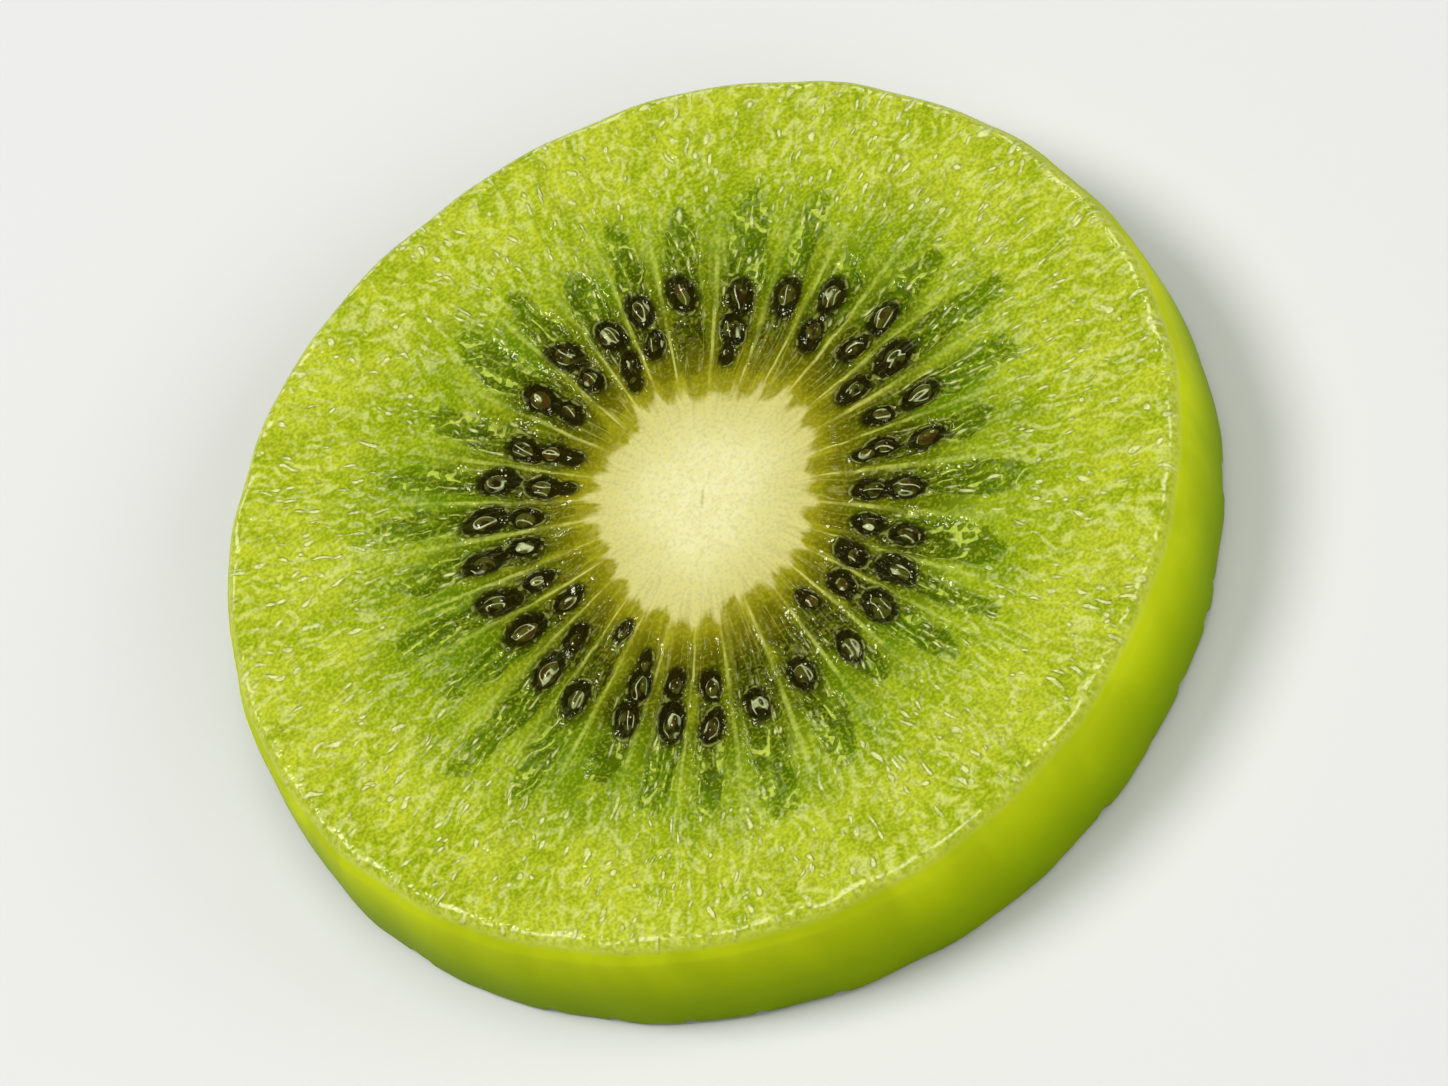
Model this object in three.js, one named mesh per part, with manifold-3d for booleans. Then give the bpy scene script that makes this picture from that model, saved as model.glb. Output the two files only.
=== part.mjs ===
// A slice of peeled kiwi fruit, lying on its lower cut face. It is one piece of flesh: a pale core, a ring
// of seed chambers round it, and a plain outer wall. Each cut face shows the core as a low dome, the
// chambers as shallow pockets between thin ribs, and the seeds standing in the pockets.
// Millimetres, +Z up, with the origin under the middle of the slice, on the surface it lies on.
import * as THREE from "three";
import { mergeVertices } from "three/addons/utils/BufferGeometryUtils.js";
import Module from "manifold-3d";

const wasm = await Module();
wasm.setup();

// Driving dimensions
const FACE_RADIUS = 25; // mean radius of the upper cut face
const THICKNESS = 7.2; // between the cut faces
const WIDENING = 0.5; // how much larger the lower face's radius is, as the fruit swells towards its middle
const BULGE = 0.25; // how far the side swells beyond a straight cone at mid height
const SHOULDER = 0.8; // rounding of the upper edge
const FOOT = 0.25; // rounding of the lower edge

// The pattern of the cut face, with radii as shares of the outline's radius
const CHAMBERS = 30;
const CORE_EDGE = 0.26;
const POCKET_START = 0.29;
const POCKET_END = 0.72;
const CORE_SHIFT = [0.37, 0.27]; // the core's middle, from the middle of the outline
const CORE_DOME = 0.16; // the core's rise above the face
const POCKET_DEPTH = 0.42; // in the middle of a chamber
const RIB_DEPTH = 0.16; // how far the ribs between chambers lie below the face

// Seeds
const SEED_LENGTH = 2.1;
const SEED_WIDTH = 1.28;
const SEED_RISE_ABOVE = 0.46; // how far a seed stands out of its pocket in the upper face
const SEED_RISE_BELOW = 0.36; // and in the lower face, where it stays clear of the surface below
const SEED_ROWS = [[0.492, 1, 1], [0.402, 0.86, 0.88], [0.345, 0.62, 0.25]]; // [radius, size, share of chambers]
const SEED_PROFILE = [[0, 0], [0.44, 0.3], [0.46, 0.72], [0, 1]]; // [share of the width, share of the length]
const SEED_SIDES = 5;

// Facets
const STEPS_PER_CHAMBER = 4;
const FACE_RINGS = [0.13, CORE_EDGE, POCKET_START, 0.36, 0.45, 0.54, 0.63, POCKET_END, 0.86];

// A wave round the fruit: [turns, size, phase]
const SPACING_WAVES = [[2, 0.022, 0.6], [5, 0.02, 2.1], [7, 0.014, 4.4], [11, 0.008, 1.3]];
const OUTLINE_WAVES = [[2, 0.008, 1.1], [3, 0.005, 0.4], [5, 0.003, 2.6], [17, 0.0016, 0.9], [29, 0.0014, 3.3]];
const CORE_WAVES = [[2, 0.075, -0.49], [3, 0.03, 1.2], [5, 0.025, 0.3]];
const LENGTH_WAVE = [7, 0.035, 1.7]; // unequal chambers

const waves = (list, angle) =>
  list.reduce((sum, [turns, size, phase]) => sum + size * Math.sin(turns * angle + phase), 0);
const smooth = (low, high, x) => THREE.MathUtils.smoothstep(x, low, high);

// Park-Miller random numbers, the same on each run
function randomFrom(seed) {
  let state = seed;
  return (low, high) => {
    state = (state * 16807) % 2147483647;
    return low + ((high - low) * state) / 2147483647;
  };
}

// Where a point of the pattern lies in plan. The chambers are evenly spaced in turn, and not in true angle.
function planPoint(share, turn, edgeRadius) {
  const angle = turn + waves(SPACING_WAVES, turn);
  const inner = 1 - smooth(CORE_EDGE, 1, share);
  const outline = edgeRadius * (1 + waves(OUTLINE_WAVES, angle));
  const radius = outline * share * (1 + inner * waves(CORE_WAVES, angle));
  return new THREE.Vector2(
    CORE_SHIFT[0] * inner + radius * Math.cos(angle),
    CORE_SHIFT[1] * inner + radius * Math.sin(angle),
  );
}

// How far the cut face stands above (or, in the pockets, below) its plane
function relief(share, turn) {
  const dome = CORE_DOME * (1 - smooth(0, CORE_EDGE, share));
  const end = POCKET_END + waves([LENGTH_WAVE], turn);
  const along = smooth(CORE_EDGE, 0.4, share) * (1 - smooth(0.5, end, share));
  const across = 0.5 - 0.5 * Math.cos(CHAMBERS * turn);
  return dome - along * THREE.MathUtils.lerp(RIB_DEPTH, POCKET_DEPTH, across);
}

// The outline's radius at a height up the side
function sideRadius(height) {
  const up = height / THICKNESS;
  return FACE_RADIUS + WIDENING * (1 - up) + BULGE * 4 * up * (1 - up);
}

function fleshGeometry() {
  const profile = []; // from the middle of the lower face, up the side, to the middle of the upper one
  const add = (share, edge, height, face) => profile.push({ share, edge, height, face });
  const top = sideRadius(THICKNESS) - SHOULDER;
  const bottom = sideRadius(0) - FOOT;
  add(0, bottom, 0, -1);
  for (const share of FACE_RINGS) add(share, bottom, 0, -1);
  add(1, bottom, 0, 0);
  add(1, sideRadius(FOOT), FOOT, 0);
  for (const up of [0.25, 0.55]) add(1, sideRadius(up * THICKNESS), up * THICKNESS, 0);
  for (const bend of [1, 0.4, 0]) {
    const lean = (bend * Math.PI) / 2;
    const height = THICKNESS - SHOULDER * (1 - Math.cos(lean));
    add(1, top + SHOULDER * Math.sin(lean), height, 0);
  }
  for (const share of [...FACE_RINGS].reverse()) add(share, top, THICKNESS, 1);
  add(0, top, THICKNESS, 1);

  const points = profile.map((p, row) => new THREE.Vector2(p.share * p.edge, row));
  const lathe = new THREE.LatheGeometry(points, CHAMBERS * STEPS_PER_CHAMBER);
  const position = lathe.getAttribute("position");
  for (let i = 0; i < position.count; i++) {
    const { share, edge, height, face } = profile[Math.round(position.getY(i))];
    const turn = Math.atan2(position.getX(i), position.getZ(i));
    const plan = planPoint(share, turn, edge);
    const rise = face === 0 ? 0 : face * Math.min(relief(share, turn), face < 0 ? 0 : Infinity);
    position.setXYZ(i, plan.x, plan.y, height + rise);
  }
  return lathe;
}

// A seed lying along X with its pointed end towards the core
function seedGeometry(length, width) {
  const points = SEED_PROFILE.map(([out, along]) => new THREE.Vector2(out * width, (along - 0.5) * length));
  return new THREE.LatheGeometry(points, SEED_SIDES).rotateZ(-Math.PI / 2);
}

function seedGeometries(face, random) {
  const seeds = [];
  const edge = face > 0 ? sideRadius(THICKNESS) - SHOULDER : sideRadius(0) - FOOT;
  const rise = face > 0 ? SEED_RISE_ABOVE : SEED_RISE_BELOW;
  for (let chamber = 0; chamber < CHAMBERS; chamber++) {
    const drift = random(-0.022, 0.022);
    for (const [row, size, chance] of SEED_ROWS) {
      if (random(0, 1) > chance) continue;
      const share = row + drift + random(-0.016, 0.016);
      const turn = ((chamber + 0.5 + random(-0.1, 0.1)) / CHAMBERS) * 2 * Math.PI;
      const grown = random(0.86, 1.06) * size;
      const at = planPoint(share, turn, edge);
      const outward = planPoint(share + 0.05, turn, edge).sub(at);
      const seed = seedGeometry(SEED_LENGTH * grown, SEED_WIDTH * grown);
      seed.rotateX(random(0, Math.PI)).rotateZ(outward.angle() + random(-0.3, 0.3));
      const floor = relief(row, Math.PI / CHAMBERS);
      const centre = floor + rise * size - (SEED_WIDTH * grown) / 2;
      seed.translate(at.x, at.y, face > 0 ? THICKNESS + centre : -centre);
      seeds.push(seed);
    }
  }
  return seeds;
}

function solidOf(geometry) {
  geometry.deleteAttribute("normal");
  geometry.deleteAttribute("uv");
  const merged = mergeVertices(geometry, 1e-4);
  const corners = merged.index.array;
  const triVerts = [];
  for (let i = 0; i < corners.length; i += 3) {
    const [a, b, c] = corners.slice(i, i + 3);
    if (a !== b && b !== c && c !== a) triVerts.push(a, b, c);
  }
  const vertProperties = merged.getAttribute("position").array;
  return new wasm.Manifold(
    new wasm.Mesh({ numProp: 3, vertProperties, triVerts: new Uint32Array(triVerts) }),
  );
}

function geometryOf(solid) {
  const mesh = solid.getMesh();
  const geometry = new THREE.BufferGeometry();
  geometry.setAttribute("position", new THREE.BufferAttribute(mesh.vertProperties, 3));
  geometry.setIndex(new THREE.BufferAttribute(mesh.triVerts, 1));
  return geometry;
}

// The bounding box is set with its middle over the origin and its foot at z = 0.
function centred(geometry) {
  geometry.computeBoundingBox();
  const { min, max } = geometry.boundingBox;
  return geometry.translate(-(min.x + max.x) / 2, -(min.y + max.y) / 2, -min.z);
}

const random = randomFrom(4711);
let slice = solidOf(fleshGeometry());
for (const face of [1, -1]) {
  for (const seed of seedGeometries(face, random)) slice = slice.add(solidOf(seed));
}

const flesh = new THREE.MeshStandardMaterial({ color: "#a9bf33", roughness: 0.35, metalness: 0 });
const mesh = new THREE.Mesh(centred(geometryOf(slice)), flesh);
mesh.name = "kiwi_slice";

const group = new THREE.Group();
group.add(mesh);
export default group;
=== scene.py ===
"""Looks for a slice of peeled kiwi fruit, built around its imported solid.

The slice's lengths are millimetres, in the frame of the solid, and are turned to metres where a mesh is
written. The stage's lengths are metres. In the functions k holds the slice's sizes, c its colours, m is a
material and f holds the flesh's fields, which are values and patterns that several of its layers share.
"""

import math
from types import SimpleNamespace

import bpy
import numpy as np
from bpy.props import FloatProperty, FloatVectorProperty, IntProperty, PointerProperty
from mathutils import Matrix, Vector


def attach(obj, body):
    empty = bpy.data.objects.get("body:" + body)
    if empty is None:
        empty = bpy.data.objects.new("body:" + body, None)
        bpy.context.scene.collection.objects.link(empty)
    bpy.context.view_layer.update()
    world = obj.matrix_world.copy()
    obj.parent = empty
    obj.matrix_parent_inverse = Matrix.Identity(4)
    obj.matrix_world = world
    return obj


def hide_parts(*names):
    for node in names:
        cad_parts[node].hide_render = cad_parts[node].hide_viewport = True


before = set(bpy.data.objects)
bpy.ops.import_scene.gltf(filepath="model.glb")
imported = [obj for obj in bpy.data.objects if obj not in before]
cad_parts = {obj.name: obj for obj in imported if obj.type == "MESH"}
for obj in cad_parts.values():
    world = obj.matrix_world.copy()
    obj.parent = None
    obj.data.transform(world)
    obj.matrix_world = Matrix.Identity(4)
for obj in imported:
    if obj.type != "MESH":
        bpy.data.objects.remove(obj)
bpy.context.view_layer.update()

bl_info = {
    "name": "Kiwi slice",
    "version": (1, 0, 0),
    "blender": (4, 5, 0),
    "location": "3D View > Sidebar > Kiwi slice",
    "description": "Builds the flesh, the seeds and the stage of a slice of kiwi fruit",
    "category": "Add Mesh",
}

MM = 0.001

# Waves round the fruit: (turns, size, phase)
SPACING_WAVES = ((2, 0.022, 0.6), (5, 0.02, 2.1), (7, 0.014, 4.4), (11, 0.008, 1.3))
OUTLINE_WAVES = ((2, 0.008, 1.1), (3, 0.005, 0.4), (5, 0.003, 2.6), (17, 0.0016, 0.9), (29, 0.0014, 3.3))
CORE_WAVES = ((2, 0.075, -0.49), (3, 0.03, 1.2), (5, 0.025, 0.3))
LENGTH_WAVES = ((7, 0.035, 1.7),)

CORE_SHIFT = (0.37, 0.27)  # the core's middle, from the middle of the outline
SEED_ROWS = ((0.492, 1, 1), (0.402, 0.86, 0.88), (0.345, 0.62, 0.25))  # radius, size, share of chambers
FULL_RELIEF = 0.4  # share of the radius from which the chambers and ribs have their full depth

PATTERN_RADIUS = 24.0  # of the slice on which patterns round the fruit are laid out

# Sizes of the noises that give the flesh its patterns, a light and a dark part together. Hairs and sacs are
# lines along a noise's levels, and so finer than its size.
CELL_SIZE = 0.34
GRAIN_SIZE = 0.18
FIBRE_SIZE = 0.5
FRAY_SIZE = 0.45
HAIR_SIZE = 0.8
STROKE_SIZE = 0.34
BEAD_SIZE = 0.4
NEST_SIZE = 0.95


# Settings


def colour(code):
    """An sRGB hex value as linear colour."""
    parts = [int(code[i : i + 2], 16) / 255 for i in (1, 3, 5)]
    return tuple(c / 12.92 if c <= 0.04045 else ((c + 0.055) / 1.055) ** 2.4 for c in parts) + (1.0,)


def length(name, description, size):
    """A length, given in millimetres"""
    return FloatProperty(
        name=name,
        description=description,
        default=size * MM,
        min=0,
        subtype="DISTANCE",
        unit="LENGTH",
        precision=5,
    )


def share_of(name, description, size):
    """A share of the slice's radius"""
    return FloatProperty(
        name=name, description=description, default=size, min=0.05, max=0.95, subtype="FACTOR"
    )


def tint(name, description, code):
    """A colour, given as an sRGB hex value"""
    return FloatVectorProperty(
        name=name, description=description, default=colour(code), size=4, min=0, max=1, subtype="COLOR"
    )


class SliceSettings(bpy.types.PropertyGroup):
    radius: length("Radius", "Mean radius of the upper cut face", 25.0)
    thickness: length("Thickness", "Between the two cut faces", 7.2)
    widening: length("Widening", "How much larger the lower face's radius is", 0.5)
    bulge: length("Bulge", "How far the side swells at mid height", 0.25)
    shoulder: length("Shoulder", "Rounding of the upper edge", 0.8)
    foot: length("Foot", "Rounding of the lower edge", 0.25)
    chambers: IntProperty(name="Chambers", description="Number round the core", default=30, min=12, max=60)
    core_edge: share_of("Core", "The core's radius, as a share of the slice's", 0.26)
    pocket_end: share_of("Chamber ends", "Their outer radius, as a share of the slice's", 0.72)
    core_dome: length("Core rise", "How far the core stands above the cut face", 0.16)
    pocket_depth: length("Chamber depth", "How far a chamber lies below the cut face", 0.42)
    rib_depth: length("Rib depth", "How far the ribs lie below the cut face", 0.16)
    seed_length: length("Seed length", "Length of the largest seeds", 2.1)
    seed_width: length("Seed width", "Width of the largest seeds", 1.28)
    seed_rise_above: length("Seed rise, upper face", "How far a seed stands out of its chamber", 0.46)
    seed_rise_below: length("Seed rise, lower face", "How far a seed stands out of its chamber", 0.36)
    grain: length("Grain", "Height of the uneven cells of the cut faces", 0.03)
    face_rings: IntProperty(name="Upper rings", description="Rings of facets above", default=128, min=24)
    under_rings: IntProperty(name="Lower rings", description="Rings of facets below", default=90, min=24)


class ColourSettings(bpy.types.PropertyGroup):
    core: tint("Core", "Middle of the core", "#EBE7B4")
    core_outer: tint("Outer core", "Core near its edge", "#DAD490")
    halo: tint("Halo", "Translucent flesh against the core", "#7E7A0A")
    ring: tint("Ring", "Flesh between the inner seeds", "#5E6204")
    ring_outer: tint("Outer ring", "Flesh between the chambers' outer ends", "#647C02")
    wall: tint("Outer wall", "Flesh outside the chambers", "#B8C430")
    wall_shade: tint("Wall shade", "Deeper flesh of the outer wall", "#8EA608")
    # Partly painted glints: the bright beads and the line along the rim take this colour
    wall_cells_and_glints: tint("Wall cells", "Bright cells of the outer wall", "#ECF2A2")
    gel: tint("Gel", "Gel of a chamber round its seeds", "#1E1A02")
    # Partly painted shade: the darker foot of the peeled side
    gel_outer: tint("Outer gel", "Gel at the outer ends of the chambers", "#486C02")
    sacs: tint("Sacs", "Skins of the sacs in the gel", "#C2D650")
    threads: tint("Threads", "Ribs where they leave the core", "#D2CC70")
    rays: tint("Rays", "Ribs where they widen into the outer wall", "#A0B42A")
    side: tint("Side", "Peeled side", "#B4C804")
    side_foot_and_shade: tint("Side foot", "Peeled side near its lower edge", "#90AA04")
    # Partly painted shade: the dark round each seed
    seed_stain_and_shade: tint("Stain", "Flesh darkened by a seed beside it", "#161002")
    coat: tint("Seed coat", "Darkest seeds", "#201C04")
    coat_brown: tint("Brown seed coat", "Palest seeds", "#48380C")


class StageSettings(bpy.types.PropertyGroup):
    floor: tint("Floor", "Painted board under the slice", "#E1E1DF")
    lamps: FloatProperty(name="Lamps", description="Their strength", default=1.0, min=0, subtype="FACTOR")
    camera_distance: FloatProperty(
        name="Camera distance",
        description="From the slice",
        default=0.7,
        min=0.1,
        subtype="DISTANCE",
        unit="LENGTH",
    )
    camera_elevation: FloatProperty(
        name="Camera elevation",
        description="Angle above the floor",
        default=math.radians(56),
        subtype="ANGLE",
        unit="ROTATION",
    )
    camera_roll: FloatProperty(
        name="Camera roll",
        description="Turn of the picture about the line of sight",
        default=math.radians(-31),
        subtype="ANGLE",
        unit="ROTATION",
    )


def sizes_of(group):
    """A group's sizes as plain numbers, its lengths in millimetres."""
    sizes = SimpleNamespace()
    for key, prop in group.bl_rna.properties.items():
        if key not in {"rna_type", "name"}:
            value = getattr(group, key)
            setattr(sizes, key, value / MM if getattr(prop, "unit", "") == "LENGTH" else value)
    return sizes


# Shapes


def waves(table, angle):
    """The sum of a table's waves at each angle."""
    return sum(size * np.sin(turns * angle + phase) for turns, size, phase in table)


def smooth(low, high, x):
    """A soft step from 0 at the first value to 1 at the second."""
    t = np.clip((np.asarray(x, float) - low) / (high - low), 0, 1)
    return t * t * (3 - 2 * t)


def random_from(seed):
    """Park-Miller random numbers, the same as the solid's."""
    state = [seed]

    def draw(low, high):
        state[0] = state[0] * 16807 % 2147483647
        return low + (high - low) * state[0] / 2147483647

    return draw


def noise(points, cell, salt, octaves=1):
    """Smooth random values from -1 to 1 that change over about one cell, with finer ones for each octave."""
    total = 0
    for octave in range(octaves):
        place = np.asarray(points, float) / cell * 2**octave
        base = np.floor(place).astype(np.int64)
        part = place - base
        ease = part * part * (3 - 2 * part)
        for corner in range(8):
            step = np.array([corner & 1, corner >> 1 & 1, corner >> 2])
            x, y, z = (base + step).T
            key = (x * 73856093 ^ y * 19349663 ^ z * 83492791 ^ (salt + 50 * octave) * 40503) & 0xFFFFFFFF
            key = (key ^ key >> 13) * 1274126177 & 0xFFFFFFFF
            value = ((key ^ key >> 16) & 0xFFFFFFFF) / 0x7FFFFFFF - 1
            total = total + value * np.prod(np.where(step, ease, 1 - ease), axis=1) / 2**octave
    return total


def plan_points(k, share, turn, edge):
    """Where points of the pattern lie in plan."""
    angle = turn + waves(SPACING_WAVES, turn)
    inner = 1 - smooth(k.core_edge, 1, share)
    radius = edge * (1 + waves(OUTLINE_WAVES, angle)) * share * (1 + inner * waves(CORE_WAVES, angle))
    return np.stack(
        [CORE_SHIFT[0] * inner + radius * np.cos(angle), CORE_SHIFT[1] * inner + radius * np.sin(angle)], -1
    )


def side_radius(k, height):
    """The slice's mean radius at this height."""
    up = height / k.thickness
    return k.radius + k.widening * (1 - up) + k.bulge * 4 * up * (1 - up)


def middle_of(k):
    """The middle of the outline's box, which stands over the origin."""
    widest = max(side_radius(k, height) for height in np.linspace(0, k.thickness, 60))
    outline = plan_points(k, np.ones(720), np.arange(720) / 720 * 2 * math.pi, widest)
    return (outline.min(0) + outline.max(0)) / 2


def pocket_shape(k, share, turn, wobble):
    """From 0 on a rib or outside the ring of chambers to 1 inside a chamber, which is a long petal.

    The wobble moves the chambers' edges."""
    place = turn / (2 * np.pi) * k.chambers
    chamber = np.floor(place) % k.chambers
    spacing = 2 * np.pi * share * (k.radius - k.shoulder) / k.chambers
    across = np.abs(place % 1 - 0.5) * spacing + wobble
    end = k.pocket_end + waves(LENGTH_WAVES, turn)
    end = end + 0.035 * np.sin(chamber * 2.4) + 0.03 * np.sin(chamber * 5.1 + 1) - wobble * 0.08
    half = np.minimum(0.42 * spacing, 0.92 + 0.12 * np.sin(chamber * 3.7))
    tip = 1 - np.clip((end - share) / 0.09, 0, 1)
    half = half * np.sqrt(1 - tip * tip) * smooth(k.core_edge + 0.01, k.core_edge + 0.06, share)
    return (1 - smooth(half - 0.25, half + 0.12, across)) * smooth(0.1, 0.4, half)


def relief(k, share, turn, pocket):
    """How far the cut face stands above its plane."""
    dome = k.core_dome * (1 - smooth(0, k.core_edge, share))
    end = k.pocket_end + waves(LENGTH_WAVES, turn)
    along = smooth(k.core_edge, FULL_RELIEF, share) * (1 - smooth(0.5, end, share))
    return dome - along * (k.rib_depth + (k.pocket_depth - k.rib_depth) * pocket)


def seed_places(k):
    """Every seed of the solid: face, middle, direction outwards, size, roll."""
    random = random_from(4711)
    places = []
    for face in (1, -1):
        edge = side_radius(k, k.thickness) - k.shoulder if face > 0 else side_radius(k, 0) - k.foot
        rise = k.seed_rise_above if face > 0 else k.seed_rise_below
        for chamber in range(k.chambers):
            drift = random(-0.022, 0.022)
            for row, size, chance in SEED_ROWS:
                if random(0, 1) > chance:
                    continue
                share = row + drift + random(-0.016, 0.016)
                turn = (chamber + 0.5 + random(-0.1, 0.1)) / k.chambers * 2 * math.pi
                grown = random(0.86, 1.06) * size
                at = plan_points(k, share, turn, edge)
                outward = plan_points(k, share + 0.05, turn, edge) - at
                roll = random(0, math.pi)
                heading = math.atan2(outward[1], outward[0]) + random(-0.3, 0.3)
                floor = -k.pocket_depth * float(smooth(k.core_edge, FULL_RELIEF, row))
                centre = floor + rise * size - k.seed_width * grown / 2
                height = k.thickness + centre if face > 0 else -centre
                places.append((face, (at[0], at[1], height), heading, grown, roll))
    return places


def seed_nearness(k, points, face):
    """From 0 well away from the seeds to 1 at a seed's outline and inside it."""
    near = np.zeros(len(points))
    for side, (x, y, _), heading, grown, _ in seed_places(k):
        if side != face:
            continue
        close = np.flatnonzero(np.hypot(points[:, 0] - x, points[:, 1] - y) < 2.2)
        dx, dy = points[close, 0] - x, points[close, 1] - y
        along = (dx * math.cos(heading) + dy * math.sin(heading)) / (k.seed_length * grown / 2)
        aside = (-dx * math.sin(heading) + dy * math.cos(heading)) / (k.seed_width * grown / 2)
        near[close] = np.maximum(near[close], 1 - smooth(0.95, 1.75, np.hypot(along, aside)))
    return near


def ring_faces(first, count, second, next_count):
    """Triangles between two closed rings of points, with any number of points in each."""
    faces = []
    i = j = 0
    while i < count or j < next_count:
        if j * count <= i * next_count and j < next_count:
            faces.append((first + i % count, second + j % next_count, second + (j + 1) % next_count))
            j += 1
        else:
            faces.append((first + i % count, second + j % next_count, first + (i + 1) % count))
            i += 1
    return faces


def new_mesh(name, points, faces, shades, material):
    """A smooth mesh object from millimetres, with its named point attributes."""
    mesh = bpy.data.meshes.new(name)
    mesh.from_pydata((np.asarray(points) * MM).tolist(), [], faces)
    for key, values in shades.items():
        values = np.asarray(values, np.float32)
        kind, field = ("FLOAT_VECTOR", "vector") if values.ndim > 1 else ("FLOAT", "value")
        mesh.attributes.new(key, kind, "POINT").data.foreach_set(field, values.ravel())
    mesh.polygons.foreach_set("use_smooth", np.ones(len(faces), bool))
    mesh.materials.append(material)
    mesh.update()
    piece = bpy.data.objects.new(name, mesh)
    bpy.context.scene.collection.objects.link(piece)
    return piece


# Materials


def add(material, kind, *inputs, stops=(), **settings):
    """Adds a node with its settings, its colour stops and its links.

    An input is a value, a socket, a node, or None to leave it alone. A dict as the last one names sockets."""
    tree = material.node_tree
    made = tree.nodes.new(kind)
    named = dict(enumerate(inputs))
    if inputs and isinstance(inputs[-1], dict):
        named.pop(len(inputs) - 1)
        named.update(inputs[-1])
    for key, value in settings.items():
        setattr(made, key, value)
    for position, shade in stops:
        if position > 0:
            made.color_ramp.elements.new(position)
        element = next(e for e in made.color_ramp.elements if abs(e.position - position) < 1e-6)
        element.color = shade
    if stops:
        made.color_ramp.elements.remove(made.color_ramp.elements[-1])
    for key, value in named.items():
        if value is None:
            continue
        if isinstance(value, bpy.types.Node):
            value = next(output for output in value.outputs if output.enabled)
        if isinstance(value, bpy.types.NodeSocket):
            tree.links.new(value, made.inputs[key])
        else:
            made.inputs[key].default_value = value
    return made


def new_material(name):
    material = bpy.data.materials.new(name)
    material.use_nodes = True
    material.node_tree.nodes.clear()
    return material


MATH = "ShaderNodeMath"
VECTOR = "ShaderNodeVectorMath"
RANGE = "ShaderNodeMapRange"
NOISE = "ShaderNodeTexNoise"
VORONOI = "ShaderNodeTexVoronoi"
MIX = "ShaderNodeMix"
RAMP = "ShaderNodeValToRGB"
ATTRIBUTE = "ShaderNodeAttribute"
SEPARATE = "ShaderNodeSeparateXYZ"

# Settings of those nodes
PLUS = {"operation": "ADD"}
LESS = {"operation": "SUBTRACT"}
TIMES = {"operation": "MULTIPLY"}
TIMES_PLUS = {"operation": "MULTIPLY_ADD"}
MOST = {"operation": "MAXIMUM"}
SIZE = {"operation": "ABSOLUTE"}
SCALE = {"operation": "SCALE"}
SOFT = {"interpolation_type": "SMOOTHSTEP"}
RGBA = {"data_type": "RGBA"}


# Which value each part of the mesh's named vectors holds
FIELDS = {
    "plan": ("x", "y", "level"),
    "zones": ("pocket", "seed_rim", "rib"),
    "drifts": ("drift", "wander", "worn"),
    "blots": ("blotch", "shade", "smear"),
}


def flesh_fields(m):
    """The values of the mesh, and the patterns that follow them.

    The share is the radius as a share of the slice's, and runs on from 1 to 1.05 down the peeled side."""
    f = SimpleNamespace()
    for attribute, names in FIELDS.items():
        parts = add(m, SEPARATE, add(m, ATTRIBUTE, attribute_name=attribute).outputs["Vector"])
        for name, part in zip(names, parts.outputs):
            setattr(f, name, part)
    bend = add(m, ATTRIBUTE, attribute_name="bend").outputs["Vector"]
    f.plane = add(m, "ShaderNodeCombineXYZ", f.x, f.y)
    f.share = add(m, VECTOR, f.plane, operation="LENGTH")
    unit = add(m, VECTOR, f.plane, operation="NORMALIZE")

    def around(radius, stretch, bent=0.0):
        """Places on a drum of this radius: patterns on it are this many times longer outwards than round."""
        drum = add(m, VECTOR, unit, {3: radius}, **SCALE)
        out = add(m, MATH, f.share, PATTERN_RADIUS / stretch, **TIMES)
        drum = add(m, VECTOR, drum, add(m, "ShaderNodeCombineXYZ", None, None, out), **PLUS)
        return add(m, VECTOR, drum, add(m, VECTOR, bend, {3: bent}, **SCALE), **PLUS) if bent else drum

    # Cells and grain, alike in all directions
    place = add(m, VECTOR, add(m, "ShaderNodeTexCoord").outputs["Object"], {3: 1 / MM}, **SCALE)
    f.cells = add(m, NOISE, place, {"Scale": 1 / CELL_SIZE, "Detail": 0.0})
    f.grain = add(m, NOISE, place, {"Scale": 1 / GRAIN_SIZE, "Detail": 0.0})

    # Fibres that run outwards, the fray of the zones' edges, and lines as fine as hairs
    f.fibre = add(m, NOISE, around(11.0, 8.0), {"Scale": 1 / FIBRE_SIZE, "Detail": 1.0, "Roughness": 0.65})
    f.fray = add(m, NOISE, around(11.0, 3.0), {"Scale": 1 / FRAY_SIZE, "Detail": 1.0})
    f.hairs = add(m, NOISE, around(11.0, 14.0), {"Scale": 1 / HAIR_SIZE, "Detail": 0.0})

    # Strokes and beads of the outer wall, and sacs in the gel
    f.stroke = add(m, NOISE, around(19.0, 2.2, 0.6), {"Scale": 1 / STROKE_SIZE, "Detail": 0.0})
    f.dots = add(m, VORONOI, around(18.0, 2.6, 0.45), {"Scale": 1 / BEAD_SIZE})
    f.nests = add(m, NOISE, around(12.0, 5.0, 0.22), {"Scale": 1 / NEST_SIZE, "Detail": 0.0})
    return f


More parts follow.
